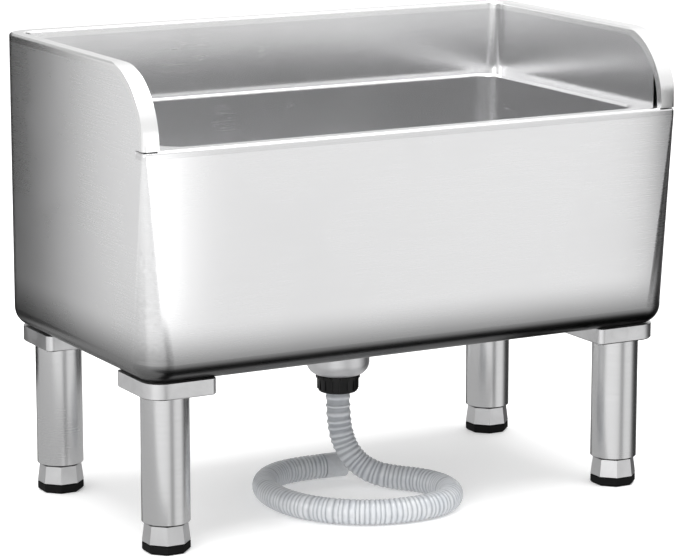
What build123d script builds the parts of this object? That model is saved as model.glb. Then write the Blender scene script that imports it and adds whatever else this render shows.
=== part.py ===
"""Stainless pet bathtub: double-walled tub with a three-sided splash guard, four levelling legs,
basket-strainer drain and a corrugated drain hose.

Units are millimetres. +X is to the right seen from the front, +Y to the back, +Z up. The origin is
on the floor under the middle of the tub.
"""
import os
from math import cos, pi, radians, sin, tan

from build123d import *

os.makedirs("parts", exist_ok=True)

# ---- tub body -------------------------------------------------------------------------------------
TUB_WIDTH = 600.0
TUB_DEPTH = 340.0
BACK_HEIGHT = 478.0
RIM_HEIGHT = 401.0
UNDERSIDE = 174.0
WALL = 17.0
LEDGE = 16.0
SHEET = 1.2
CORNER_R = 30.0
CRISP_R = 4.0
CORNER_FOOT = 4.0
BOTTOM_R = 20.0
LIP_DROP = 8.0
LIP_FOLD_R = 4.5
GUARD_CURVE_R = 75.0
CAP_LIP = 8.0
CAP_FOLD_R = 3.0

# ---- basin ----------------------------------------------------------------------------------------
BASIN_CORNER_R = 24.0
BASIN_FLOOR = 198.0
FLOOR_FALL = 8.0
FLOOR_FOLD_R = 18.0
DISH_SIZE = 150.0
RECESS_R = 58.0
RECESS_DEPTH = 4.0
LEDGE_FOLD_R = 3.2

# ---- inside the double wall -----------------------------------------------------------------------
SERVICE_LENGTH = 260.0
SERVICE_WIDTH = 180.0
SERVICE_LAP = 16.0
COVER_SHEET = 1.5
COVER_SCREW_R = 2.0
COVER_SCREW_HEAD_R = 4.0
COVER_SCREW_HEAD = 2.4
CHANNEL_LENGTH = 230.0
CHANNEL_WIDTH = 36.0
CHANNEL_HEIGHT = 12.0
CHANNEL_SPACE = 6.0
CHANNEL_FOOT = 14.0
PAD_WIDTH = 26.0
CORNER_PLATE_THICK = 3.0
CORNER_PLATE_MARGIN = 3.0

# ---- legs -----------------------------------------------------------------------------------------
LEG_INSET_X = 40.0
LEG_INSET_Y = 43.0
LEG_R = 24.0
LEG_WALL = 1.5
LEG_BOTTOM = 30.0
BLOCK_HEIGHT = 16.0
BLOCK_OUT_X = 31.0
BLOCK_OUT_Y = 34.0
BLOCK_IN_X = 41.0
BLOCK_IN_Y = 46.0
BLOCK_CORNER_R = 20.0
BLOCK_EDGE_R = 7.0
STUD_R = 8.0
STUD_RISE = 10.0
PLUG_DEPTH = 8.0
INSERT_BOTTOM = 45.0
INSERT_HEIGHT = 18.0
THREAD_GAP = 0.05
LEG_SCREW_R = 3.0
LEG_SCREW_HEAD_R = 5.2
LEG_SCREW_INSET = 10.0
LEG_SCREW_HEAD = 4.0
HEX_SOCKET_R = 2.7
HEX_SOCKET_DEPTH = 2.0
LEG_SCREW_SINK = 5.0
SCREW_GAP = 0.3
SCREW_TIP = 2.0
BLOCK_BEVEL = 1.2

# ---- levelling feet -------------------------------------------------------------------------------
PAD_HEIGHT = 9.0
PAD_FLATS = 44.0
PAD_BEVEL = 2.0
FOOT_FLATS_LOW = 44.4
FOOT_FLATS_HIGH = 39.4
FOOT_SIDES = 8
FOOT_EDGE = 1.6
STEM_TOP = 78.0
PIVOT_R = 5.0
PIVOT_DEPTH = 5.0
PIVOT_GAP = 0.08
BODY_GAP = 0.3

# ---- drain ----------------------------------------------------------------------------------------
CUP_R = 33.0
CUP_BOTTOM = 120.0
FLANGE_R = 54.0
FLANGE_THICK = 1.5
GASKET_THICK = 1.2
GASKET_LOW_THICK = 2.0
BACKNUT_HEIGHT = 6.0
BACKNUT_R = 47.0
BACKNUT_LUG = 8.0
BACKNUT_LUGS = 4
TAIL_R = 19.0
CUP_FOLD_R = CUP_R - TAIL_R
TAIL_BORE_R = 16.0
TAIL_BOTTOM = 109.0
COUPLING_R = 21.4
COUPLING_FLARE_R = 23.2
COUPLING_BOTTOM = 102.0
COUPLING_LIP = 3.0
COUPLING_FOLD_R = 2.4
COUPLING_RIBS = 16
COUPLING_RIB = 0.9
COUPLING_FLARE = 3.0
COUPLING_DRAFT = 1.0
SPIGOT_FLANGE = 2.0
SPIGOT_LENGTH = 14.0
SPIGOT_WALL = 1.6
SPIGOT_GAP = 0.1

# ---- lift-out strainer ----------------------------------------------------------------------------
BASKET_SHEET = 0.9
BASKET_PLAY = 0.9
BASKET_TAPER = 7.0
BASKET_RIM_R = CUP_R - SHEET - BASKET_SHEET - BASKET_PLAY
BASKET_FOOT_R = BASKET_RIM_R - BASKET_TAPER
BASKET_TOP = 180.0
BASKET_BOTTOM = 150.0
BASKET_HOLE_R = 1.7
BASKET_HOLE_SPACE = 6.4
BASKET_HOLES = 6
POST_R = 3.0
KNOB_R = 8.0
KNOB_TOP = 190.0
KNOB_HEIGHT = 9.0
SEAL_R = TAIL_R
SEAL_THICK = 4.0
SEAL_BORE_R = 0.5

# ---- drain hose and its plain end -----------------------------------------------------------------
HOSE_R = 13.0
HOSE_BORE_R = 11.0
HOSE_LIFT = 0.2
CUFF_LENGTH = 24.0
CUFF_R = 13.1
CUFF_BORE_R = 11.6
BEND_SHARE = 0.45

# ---- worked out from the sizes above --------------------------------------------------------------
HALF_W = TUB_WIDTH / 2
HALF_D = TUB_DEPTH / 2
CUT = 20.0
TOUCH = 0.05
BLEND_TOP = RIM_HEIGHT - LIP_DROP
BLEND_BOTTOM = UNDERSIDE + BOTTOM_R + CORNER_FOOT
FOOT_TOP = LEG_BOTTOM - BODY_GAP


def save(part, name):
    """Labels a finished piece and writes its STEP file."""
    part.label = name
    export_step(part, f"parts/{name}.step")


def plan_sketch(height, inset, front_r, back_r):
    """Plan of the tub at one height, drawn in by an inset, with its own front and back corner radii."""
    with BuildSketch(Plane.XY.offset(height)) as plan:
        Rectangle(TUB_WIDTH - 2 * inset, TUB_DEPTH - 2 * inset)
        fillet(plan.vertices().group_by(Axis.Y)[0], front_r)
        fillet(plan.vertices().group_by(Axis.Y)[-1], back_r)
    return plan.sketch


def guard_side(inset, low):
    """Side view of the splash guard: upright front edge, quarter curve, level top, drawn in by an inset."""
    front = -HALF_D + inset
    top = BACK_HEIGHT - inset
    curve_y = -HALF_D + GUARD_CURVE_R
    curve_z = BACK_HEIGHT - GUARD_CURVE_R
    with BuildSketch(Plane.YZ) as side:
        with BuildLine():
            Line((front, low), (front, curve_z))
            CenterArc((curve_y, curve_z), GUARD_CURVE_R - inset, 180, -90)
            Line((curve_y, top), (HALF_D + CUT, top))
            Line((HALF_D + CUT, top), (HALF_D + CUT, low))
            Line((HALF_D + CUT, low), (front, low))
        make_face()
    return side


def tub_form(inset):
    """Closed outer form of the tub, drawn in by an inset; its front corners turn crisp towards the rim."""
    with BuildPart() as form:
        extrude(plan_sketch(UNDERSIDE + inset, inset, CORNER_R - inset, CORNER_R - inset),
                amount=BLEND_BOTTOM - UNDERSIDE - inset)
        loft([plan_sketch(BLEND_BOTTOM, inset, CORNER_R - inset, CORNER_R - inset).face(),
              plan_sketch(BLEND_TOP, inset, CRISP_R - inset, CORNER_R - inset).face()], ruled=True)
        extrude(plan_sketch(BLEND_TOP, inset, CRISP_R - inset, CORNER_R - inset),
                amount=BACK_HEIGHT - BLEND_TOP)
        fillet(form.faces().sort_by(Axis.Z)[0].edges(), BOTTOM_R - inset)
    return form.part


def guard_wall(outer, inner, low):
    """Three-sided upright wall between two insets from the tub's outline, open at the front."""
    with BuildSketch() as inside:
        with Locations((0, -(CUT + inner) / 2)):
            Rectangle(TUB_WIDTH - 2 * inner, TUB_DEPTH - inner + CUT)
        fillet(inside.vertices().group_by(Axis.Y)[-1], CORNER_R - inner)
    with BuildPart() as wall:
        with BuildSketch(Plane.XY.offset(low)):
            add(plan_sketch(0, outer, max(CRISP_R - outer, SHEET), CORNER_R - outer))
            add(inside.sketch, mode=Mode.SUBTRACT)
        extrude(amount=BACK_HEIGHT - low)
    return wall.part


# ---- leg layout -----------------------------------------------------------------------------------
PAN_FLOOR = UNDERSIDE + SHEET
BLOCK_BOTTOM = UNDERSIDE - BLOCK_HEIGHT
CORNERS = {"front_left": (-1, -1), "front_right": (1, -1), "rear_left": (-1, 1), "rear_right": (1, 1)}


def leg_centre(side_x, side_y):
    """Axis of one leg in plan."""
    return side_x * (HALF_W - LEG_INSET_X), side_y * (HALF_D - LEG_INSET_Y)


def block_span(side_x, side_y):
    """Centre and size of one leg block in plan."""
    x, y = leg_centre(side_x, side_y)
    centre = (x + side_x * (BLOCK_OUT_X - BLOCK_IN_X) / 2, y + side_y * (BLOCK_OUT_Y - BLOCK_IN_Y) / 2)
    return centre, (BLOCK_OUT_X + BLOCK_IN_X, BLOCK_OUT_Y + BLOCK_IN_Y)


def screw_spots(side_x, side_y):
    """Places of the three screws of one leg block, clear of the leg and of the tub's rounded bottom edge."""
    x, y = leg_centre(side_x, side_y)
    inner_x = x - side_x * (BLOCK_IN_X - LEG_SCREW_INSET)
    inner_y = y - side_y * (BLOCK_IN_Y - LEG_SCREW_INSET)
    outer_x = side_x * (HALF_W - BOTTOM_R - LEG_SCREW_INSET)
    outer_y = side_y * (HALF_D - BOTTOM_R - LEG_SCREW_INSET)
    return [(inner_x, inner_y), (inner_x, outer_y), (outer_x, inner_y)]


LEG_SCREW_SPOTS = [spot for signs in CORNERS.values() for spot in screw_spots(*signs)]
COVER_SCREW_SPOTS = [(side_x * (SERVICE_LENGTH + SERVICE_LAP) / 2, side_y * SERVICE_WIDTH / 3)
                     for side_x in (-1, 1) for side_y in (-1, 1)]


def drill(spots, radius, low, high):
    """Cuts round upright holes at the given places out of the part being built."""
    with BuildSketch(Plane.XY.offset(low)) as holes:
        with Locations(*spots):
            Circle(radius)
    extrude(holes.sketch, amount=high - low, mode=Mode.SUBTRACT)


# ---- outer shell ----------------------------------------------------------------------------------
with BuildPart() as outer_shell:
    add(tub_form(0))
    add(tub_form(SHEET), mode=Mode.SUBTRACT)
    with BuildSketch(Plane.YZ) as side:
        with BuildLine():
            Polyline((-HALF_D - CUT, UNDERSIDE - CUT), (-HALF_D - CUT, BLEND_TOP),
                     (-HALF_D + WALL, BLEND_TOP), (-HALF_D + WALL, RIM_HEIGHT),
                     (HALF_D + CUT, RIM_HEIGHT), (HALF_D + CUT, UNDERSIDE - CUT), close=True)
        make_face()
        add(guard_side(CAP_LIP, RIM_HEIGHT).sketch_local)
    extrude(amount=HALF_W + CUT, both=True, mode=Mode.INTERSECT)
    with BuildSketch(Plane.XY.offset(UNDERSIDE)):
        RectangleRounded(SERVICE_LENGTH, SERVICE_WIDTH, CORNER_R)
    extrude(amount=SHEET, mode=Mode.SUBTRACT)
    drill(LEG_SCREW_SPOTS, LEG_SCREW_R + SCREW_GAP, UNDERSIDE, PAN_FLOOR)
    drill(COVER_SCREW_SPOTS, COVER_SCREW_R + THREAD_GAP, UNDERSIDE, PAN_FLOOR)
save(outer_shell.part, "outer_shell")


# ---- splash guard: inner skin and edge cap --------------------------------------------------------
with BuildPart() as splash_liner:
    add(guard_wall(WALL - SHEET, WALL, RIM_HEIGHT))
    extrude(guard_side(CAP_LIP, RIM_HEIGHT - CUT).sketch, amount=HALF_W + CUT, both=True,
            mode=Mode.INTERSECT)
save(splash_liner.part, "splash_liner")

with BuildPart() as cap_pocket:
    add(guard_wall(SHEET, WALL - SHEET, RIM_HEIGHT - CUT))
    extrude(guard_side(SHEET, RIM_HEIGHT - 2 * CUT).sketch, amount=HALF_W + CUT, both=True,
            mode=Mode.INTERSECT)

with BuildPart() as cap_below:
    extrude(guard_side(CAP_LIP, RIM_HEIGHT - CUT).sketch, amount=HALF_W + CUT, both=True)

with BuildPart() as guard_cap:
    add(guard_wall(0, WALL, RIM_HEIGHT))
    fillet(guard_cap.faces().sort_by(Axis.Z)[-1].edges(), CAP_FOLD_R)
    extrude(guard_side(0, RIM_HEIGHT - CUT).sketch, amount=HALF_W + CUT, both=True, mode=Mode.INTERSECT)
    add(cap_pocket.part, mode=Mode.SUBTRACT)
    add(cap_below.part, mode=Mode.SUBTRACT)
save(guard_cap.part, "guard_cap")


# ---- basin ----------------------------------------------------------------------------------------
BASIN_HALF_X = HALF_W - WALL - LEDGE
BASIN_FRONT = -HALF_D + WALL
BASIN_BACK = HALF_D - WALL - LEDGE
BASIN_Y = (BASIN_FRONT + BASIN_BACK) / 2
DISH_FLOOR = BASIN_FLOOR - FLOOR_FALL
RECESS_FLOOR = DISH_FLOOR - RECESS_DEPTH
RECESS_UNDER = RECESS_FLOOR - SHEET


def bowl_form(grow, top):
    """Inside of the basin, grown by a wall: upright sides, a floor falling to the drain, a round recess."""
    size_x = 2 * BASIN_HALF_X + 2 * grow
    size_y = BASIN_BACK - BASIN_FRONT + 2 * grow
    with BuildPart() as bowl:
        with BuildSketch(Plane.XY.offset(BASIN_FLOOR - grow)):
            with Locations((0, BASIN_Y)):
                RectangleRounded(size_x, size_y, BASIN_CORNER_R + grow)
        extrude(amount=top - BASIN_FLOOR + grow)
        fillet(bowl.faces().sort_by(Axis.Z)[0].edges(), FLOOR_FOLD_R + grow)
        with BuildSketch(Plane.XY.offset(BASIN_FLOOR - grow)) as fall:
            with Locations((0, BASIN_Y)):
                RectangleRounded(size_x - 2 * (FLOOR_FOLD_R + grow), size_y - 2 * (FLOOR_FOLD_R + grow),
                                 BASIN_CORNER_R - FLOOR_FOLD_R)
        with BuildSketch(Plane.XY.offset(DISH_FLOOR - grow)) as dish:
            RectangleRounded(DISH_SIZE, DISH_SIZE, BASIN_CORNER_R)
        loft([fall.sketch.face(), dish.sketch.face()], ruled=True)
        with BuildSketch(Plane.XY.offset(RECESS_FLOOR - grow)):
            Circle(RECESS_R + grow)
        extrude(amount=RECESS_DEPTH + FLOOR_FALL / 2)
    return bowl.part


def rim_lip(inset):
    """Folded front lip of the basin flange, as a bar across the whole front, drawn in by an inset."""
    with BuildPart() as lip:
        with BuildSketch(Plane.XY.offset(BLEND_TOP)) as plan:
            with Locations((0, -HALF_D + (WALL + inset) / 2)):
                Rectangle(TUB_WIDTH - 2 * inset, WALL - inset)
            fillet(plan.vertices().group_by(Axis.Y)[0], max(CRISP_R - inset, SHEET))
        extrude(amount=LIP_DROP - inset)
        front_top = lip.edges().filter_by(Axis.X).group_by(Axis.Y)[0].sort_by(Axis.Z)[-1]
        fillet(front_top, min(LIP_FOLD_R, LIP_DROP - SHEET) - inset)
    return lip.part


with BuildPart() as basin:
    extrude(plan_sketch(RIM_HEIGHT - SHEET, SHEET, CRISP_R - SHEET, CORNER_R - SHEET), amount=SHEET)
    with BuildSketch(Plane.XY.offset(RIM_HEIGHT - SHEET)):
        with Locations((0, -HALF_D)):
            Rectangle(TUB_WIDTH, 2 * WALL)
    extrude(amount=SHEET, mode=Mode.SUBTRACT)
    add(rim_lip(0))
    add(rim_lip(SHEET), mode=Mode.SUBTRACT)
    add(bowl_form(SHEET, RIM_HEIGHT))
    fold_under = basin.edges().filter_by(
        lambda edge: abs(edge.center().Z - RIM_HEIGHT + SHEET) < TOUCH
        and abs(edge.center().X) < BASIN_HALF_X + SHEET + TOUCH
        and BASIN_FRONT - SHEET - TOUCH < edge.center().Y < BASIN_BACK + SHEET + TOUCH)
    fillet(fold_under, LEDGE_FOLD_R - SHEET)
    add(bowl_form(0, RIM_HEIGHT), mode=Mode.SUBTRACT)
    fold_top = basin.edges().filter_by(
        lambda edge: abs(edge.center().Z - RIM_HEIGHT) < TOUCH
        and abs(edge.center().X) < BASIN_HALF_X + TOUCH
        and BASIN_FRONT - TOUCH < edge.center().Y < BASIN_BACK + TOUCH)
    fillet(fold_top, LEDGE_FOLD_R)
    with BuildSketch(Plane.XY.offset(RECESS_UNDER)):
        Circle(CUP_R + BODY_GAP)
    extrude(amount=SHEET, mode=Mode.SUBTRACT)
save(basin.part, "basin")


# ---- inside the double wall -----------------------------------------------------------------------
COVER_BOTTOM = UNDERSIDE - COVER_SHEET
CHANNEL_X = SERVICE_LENGTH / 2 + CHANNEL_FOOT + CHANNEL_WIDTH / 2 + CHANNEL_SPACE

with BuildPart() as service_cover:
    with BuildSketch(Plane.XY.offset(COVER_BOTTOM)):
        RectangleRounded(SERVICE_LENGTH + 2 * SERVICE_LAP, SERVICE_WIDTH + 2 * SERVICE_LAP, CORNER_R)
        Circle(CUP_R + SERVICE_LAP / 2, mode=Mode.SUBTRACT)
    extrude(amount=COVER_SHEET)
    drill(COVER_SCREW_SPOTS, COVER_SCREW_R + SCREW_GAP, COVER_BOTTOM, UNDERSIDE)
save(service_cover.part, "service_cover")

with BuildPart() as cover_screws:
    with BuildSketch(Plane.XY.offset(COVER_BOTTOM)):
        with Locations(*COVER_SCREW_SPOTS):
            Circle(COVER_SCREW_HEAD_R)
    extrude(amount=-COVER_SCREW_HEAD)
    fillet(cover_screws.faces().filter_by(Axis.Z).group_by(Axis.Z)[0].edges(), COVER_SCREW_HEAD / 2)
    with BuildSketch(Plane.XY.offset(COVER_BOTTOM)):
        with Locations(*COVER_SCREW_SPOTS):
            Circle(COVER_SCREW_R)
    extrude(amount=COVER_SHEET + SHEET)
save(cover_screws.part, "cover_screws")

for side_name, side in (("left", -1), ("right", 1)):
    with BuildPart() as support_channel:
        with BuildSketch(Plane.XZ.offset(-CHANNEL_LENGTH / 2)):
            with Locations((side * CHANNEL_X, PAN_FLOOR)):
                Rectangle(CHANNEL_WIDTH, CHANNEL_HEIGHT, align=(Align.CENTER, Align.MIN))
                Rectangle(CHANNEL_WIDTH + 2 * CHANNEL_FOOT, COVER_SHEET, align=(Align.CENTER, Align.MIN))
                Rectangle(CHANNEL_WIDTH - 2 * COVER_SHEET, CHANNEL_HEIGHT - COVER_SHEET,
                          align=(Align.CENTER, Align.MIN), mode=Mode.SUBTRACT)
        extrude(amount=CHANNEL_LENGTH)
    save(support_channel.part, f"support_channel_{side_name}")

    with BuildPart() as channel_pad:
        with BuildSketch(Plane.XY.offset(PAN_FLOOR + CHANNEL_HEIGHT)):
            with Locations((side * CHANNEL_X, 0)):
                Rectangle(PAD_WIDTH, CHANNEL_LENGTH - 2 * CHANNEL_FOOT)
        extrude(amount=BASIN_FLOOR - PAN_FLOOR - CHANNEL_HEIGHT)
        add(bowl_form(SHEET, RIM_HEIGHT), mode=Mode.SUBTRACT)
    save(channel_pad.part, f"channel_pad_{side_name}")

with BuildPart() as corner_plates:
    for signs in CORNERS.values():
        x, y = leg_centre(*signs)
        low_x = abs(x) - BLOCK_IN_X + CORNER_PLATE_MARGIN
        low_y = abs(y) - BLOCK_IN_Y + CORNER_PLATE_MARGIN
        high_x = HALF_W - BOTTOM_R - CORNER_PLATE_MARGIN / 2
        high_y = HALF_D - BOTTOM_R - CORNER_PLATE_MARGIN / 2
        with BuildSketch(Plane.XY.offset(PAN_FLOOR)):
            with Locations((signs[0] * (low_x + high_x) / 2, signs[1] * (low_y + high_y) / 2)):
                Rectangle(high_x - low_x, high_y - low_y)
        extrude(amount=CORNER_PLATE_THICK)
    drill(LEG_SCREW_SPOTS, LEG_SCREW_R + THREAD_GAP, PAN_FLOOR, PAN_FLOOR + CORNER_PLATE_THICK)
save(corner_plates.part, "corner_plates")


# ---- legs -----------------------------------------------------------------------------------------
SCREW_SEAT = BLOCK_BOTTOM + LEG_SCREW_SINK

with BuildPart() as leg_screws:
    with BuildSketch(Plane.XY.offset(SCREW_SEAT)):
        with Locations(*LEG_SCREW_SPOTS):
            Circle(LEG_SCREW_HEAD_R)
    extrude(amount=-LEG_SCREW_HEAD)
    with BuildSketch(Plane.XY.offset(SCREW_SEAT - LEG_SCREW_HEAD)):
        with Locations(*LEG_SCREW_SPOTS):
            RegularPolygon(HEX_SOCKET_R, 6)
    extrude(amount=HEX_SOCKET_DEPTH, mode=Mode.SUBTRACT)
    with BuildSketch(Plane.XY.offset(SCREW_SEAT)):
        with Locations(*LEG_SCREW_SPOTS):
            Circle(LEG_SCREW_R)
    extrude(amount=PAN_FLOOR + CORNER_PLATE_THICK + SCREW_TIP - SCREW_SEAT)
save(leg_screws.part, "leg_screws")


def octagon(plane, flats):
    """Regular octagon with one flat facing the front, given its size across flats."""
    with BuildSketch(plane) as shape:
        RegularPolygon(flats / 2, FOOT_SIDES, major_radius=False, rotation=180 / FOOT_SIDES)
    return shape.sketch


for corner, signs in CORNERS.items():
    x, y = leg_centre(*signs)
    centre, size = block_span(*signs)

    with BuildPart() as leg_block:
        with BuildSketch(Plane.XY.offset(BLOCK_BOTTOM)) as plan:
            with Locations(centre):
                Rectangle(*size)
            outer = plan.vertices().sort_by(lambda v: signs[0] * v.X + signs[1] * v.Y)[-1]
            fillet(plan.vertices() - ShapeList([outer]), BLOCK_EDGE_R)
            outer = plan.vertices().sort_by(lambda v: signs[0] * v.X + signs[1] * v.Y)[-1]
            fillet(outer, BLOCK_CORNER_R)
        extrude(amount=BLOCK_HEIGHT)
        chamfer(leg_block.faces().sort_by(Axis.Z)[0].edges(), BLOCK_BEVEL)
        drill(screw_spots(*signs), LEG_SCREW_R + SCREW_GAP, BLOCK_BOTTOM, UNDERSIDE)
        drill(screw_spots(*signs), LEG_SCREW_HEAD_R + SCREW_GAP, BLOCK_BOTTOM, SCREW_SEAT)
        drill([(x, y)], STUD_R + THREAD_GAP, BLOCK_BOTTOM, BLOCK_BOTTOM + STUD_RISE + BODY_GAP)
    save(leg_block.part, f"leg_block_{corner}")

    with BuildPart() as leg_tube:
        with BuildSketch(Plane.XY.offset(LEG_BOTTOM)):
            with Locations((x, y)):
                Circle(LEG_R)
                Circle(LEG_R - LEG_WALL, mode=Mode.SUBTRACT)
        extrude(amount=BLOCK_BOTTOM - LEG_BOTTOM)
        chamfer(leg_tube.faces().sort_by(Axis.Z)[0].edges().sort_by(SortBy.RADIUS)[-1], LEG_WALL / 3)
    save(leg_tube.part, f"leg_tube_{corner}")

    with BuildPart() as leg_stud:
        with BuildSketch(Plane.XY.offset(BLOCK_BOTTOM - PLUG_DEPTH)):
            with Locations((x, y)):
                Circle(LEG_R - LEG_WALL)
        extrude(amount=PLUG_DEPTH)
        with BuildSketch(Plane.XY.offset(BLOCK_BOTTOM)):
            with Locations((x, y)):
                Circle(STUD_R)
        extrude(amount=STUD_RISE)
        chamfer(leg_stud.faces().sort_by(Axis.Z)[-1].edges(), LEG_WALL / 2)
    save(leg_stud.part, f"leg_stud_{corner}")

    with BuildPart() as leg_insert:
        with BuildSketch(Plane.XY.offset(INSERT_BOTTOM)):
            with Locations((x, y)):
                Circle(LEG_R - LEG_WALL)
                Circle(STUD_R + THREAD_GAP, mode=Mode.SUBTRACT)
        extrude(amount=INSERT_HEIGHT)
    save(leg_insert.part, f"leg_insert_{corner}")

    with BuildPart() as foot_body:
        loft([octagon(Plane((x, y, PAD_HEIGHT + BODY_GAP)), FOOT_FLATS_LOW).face(),
              octagon(Plane((x, y, FOOT_TOP)), FOOT_FLATS_HIGH).face()], ruled=True)
        chamfer(foot_body.faces().sort_by(Axis.Z)[-1].edges(), FOOT_EDGE)
        chamfer(foot_body.faces().sort_by(Axis.Z)[0].edges(), FOOT_EDGE / 2)
        with BuildSketch(Plane.XY.offset(FOOT_TOP)):
            with Locations((x, y)):
                Circle(STUD_R)
        extrude(amount=STEM_TOP - FOOT_TOP)
        chamfer(foot_body.faces().sort_by(Axis.Z)[-1].edges(), LEG_WALL / 2)
        with BuildSketch(Plane.XY.offset(PAD_HEIGHT + BODY_GAP)):
            with Locations((x, y)):
                Circle(PIVOT_R)
        extrude(amount=-PIVOT_DEPTH)
    save(foot_body.part, f"foot_body_{corner}")

    with BuildPart() as foot_pad:
        extrude(octagon(Plane((x, y, 0)), PAD_FLATS), amount=PAD_HEIGHT)
        chamfer(foot_pad.faces().sort_by(Axis.Z)[0].edges(), PAD_BEVEL)
        drill([(x, y)], PIVOT_R + PIVOT_GAP, PAD_HEIGHT - PIVOT_DEPTH, PAD_HEIGHT)
    save(foot_pad.part, f"foot_pad_{corner}")


# ---- drain ----------------------------------------------------------------------------------------
FLANGE_UNDER = RECESS_FLOOR + GASKET_THICK
NUT_TOP = RECESS_UNDER - GASKET_LOW_THICK


def ring(low, height, inner, outer):
    """Flat ring about the drain's axis."""
    with BuildPart() as washer:
        with BuildSketch(Plane.XY.offset(low)):
            Circle(outer)
            Circle(inner, mode=Mode.SUBTRACT)
        extrude(amount=height)
    return washer.part


def cup_form(shrink, top):
    """Round strainer cup with its bottom edge rounded, drawn in by a wall."""
    with BuildPart() as cup:
        with BuildSketch(Plane.XY.offset(CUP_BOTTOM + shrink)):
            Circle(CUP_R - shrink)
        extrude(amount=top - CUP_BOTTOM - shrink)
        fillet(cup.faces().sort_by(Axis.Z)[0].edges(), CUP_FOLD_R - shrink)
    return cup.part


with BuildPart() as strainer_body:
    add(cup_form(0, FLANGE_UNDER))
    add(ring(FLANGE_UNDER, FLANGE_THICK, CUP_R - 2 * SHEET, FLANGE_R))
    add(ring(TAIL_BOTTOM, CUP_BOTTOM + SHEET - TAIL_BOTTOM, TAIL_BORE_R, TAIL_R))
    add(cup_form(SHEET, FLANGE_UNDER + FLANGE_THICK), mode=Mode.SUBTRACT)
    drill([(0, 0)], TAIL_BORE_R, TAIL_BOTTOM, CUP_BOTTOM + SHEET)
save(strainer_body.part, "strainer_body")

save(ring(RECESS_FLOOR, GASKET_THICK, CUP_R + BODY_GAP, FLANGE_R - SHEET), "flange_gasket")
save(ring(NUT_TOP, GASKET_LOW_THICK, CUP_R + BODY_GAP, BACKNUT_R), "under_gasket")

with BuildPart() as backnut:
    add(ring(NUT_TOP - BACKNUT_HEIGHT, BACKNUT_HEIGHT, CUP_R + THREAD_GAP, BACKNUT_R))
    with BuildSketch(Plane.XY.offset(NUT_TOP - BACKNUT_HEIGHT)):
        with PolarLocations(BACKNUT_R, BACKNUT_LUGS):
            Rectangle(BACKNUT_LUG, 2 * BACKNUT_LUG)
    extrude(amount=BACKNUT_HEIGHT)
save(backnut.part, "backnut")

COUPLING_SEAT = COUPLING_BOTTOM + COUPLING_LIP
with BuildPart() as coupling_nut:
    with BuildSketch(Plane.XY.offset(COUPLING_BOTTOM)):
        Circle(COUPLING_R - COUPLING_DRAFT)
    with BuildSketch(Plane.XY.offset(CUP_BOTTOM - COUPLING_FLARE)):
        Circle(COUPLING_R)
    loft()
    fillet(coupling_nut.faces().sort_by(Axis.Z)[0].edges(), COUPLING_FOLD_R)
    with BuildSketch(Plane.XY.offset(CUP_BOTTOM - COUPLING_FLARE)):
        Circle(COUPLING_FLARE_R)
        with PolarLocations(COUPLING_FLARE_R, COUPLING_RIBS):
            Circle(COUPLING_RIB, mode=Mode.SUBTRACT)
    extrude(amount=COUPLING_FLARE - BODY_GAP)
    with BuildSketch(Plane.XY.offset(COUPLING_SEAT)):
        with PolarLocations(COUPLING_R - COUPLING_RIB / 2, COUPLING_RIBS):
            Rectangle(2 * COUPLING_RIB, COUPLING_RIB)
    extrude(amount=CUP_BOTTOM - COUPLING_FLARE - COUPLING_SEAT)
    drill([(0, 0)], TAIL_R + THREAD_GAP, COUPLING_SEAT, CUP_BOTTOM)
    drill([(0, 0)], HOSE_R + HOSE_LIFT, COUPLING_BOTTOM, COUPLING_SEAT)
save(coupling_nut.part, "coupling_nut")

with BuildPart() as hose_spigot:
    add(ring(COUPLING_SEAT, SPIGOT_FLANGE, HOSE_BORE_R - SPIGOT_GAP - SPIGOT_WALL, TAIL_R - BODY_GAP))
    add(ring(COUPLING_SEAT - SPIGOT_LENGTH, SPIGOT_LENGTH, HOSE_BORE_R - SPIGOT_GAP - SPIGOT_WALL,
             HOSE_BORE_R - SPIGOT_GAP))
save(hose_spigot.part, "hose_spigot")

save(ring(COUPLING_SEAT + SPIGOT_FLANGE, TAIL_BOTTOM - COUPLING_SEAT - SPIGOT_FLANGE, TAIL_BORE_R,
          TAIL_R - BODY_GAP), "spigot_washer")


# ---- lift-out strainer ----------------------------------------------------------------------------
SEAL_BOTTOM = CUP_BOTTOM + SHEET + BODY_GAP
BASKET_RINGS = int((BASKET_FOOT_R - BASKET_HOLE_R) / BASKET_HOLE_SPACE)

with BuildPart() as strainer_basket:
    with BuildSketch(Plane.XZ):
        with BuildLine():
            Polyline((POST_R + THREAD_GAP, BASKET_BOTTOM), (BASKET_FOOT_R, BASKET_BOTTOM),
                     (BASKET_RIM_R, BASKET_TOP), (BASKET_RIM_R + BASKET_SHEET, BASKET_TOP),
                     (BASKET_RIM_R + BASKET_SHEET, BASKET_TOP + BASKET_SHEET),
                     (BASKET_RIM_R - BASKET_SHEET, BASKET_TOP + BASKET_SHEET),
                     (BASKET_FOOT_R - BASKET_SHEET, BASKET_BOTTOM + BASKET_SHEET),
                     (POST_R + THREAD_GAP, BASKET_BOTTOM + BASKET_SHEET), close=True)
        make_face()
    revolve(axis=Axis.Z)
    for ring_number in range(1, BASKET_RINGS + 1):
        ring_r = ring_number * BASKET_HOLE_SPACE
        step = 2 * pi / (BASKET_HOLES * ring_number)
        spots = [(ring_r * cos(k * step), ring_r * sin(k * step)) for k in range(BASKET_HOLES * ring_number)]
        drill(spots, BASKET_HOLE_R, BASKET_BOTTOM, BASKET_BOTTOM + BASKET_SHEET)
save(strainer_basket.part, "strainer_basket")

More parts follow.
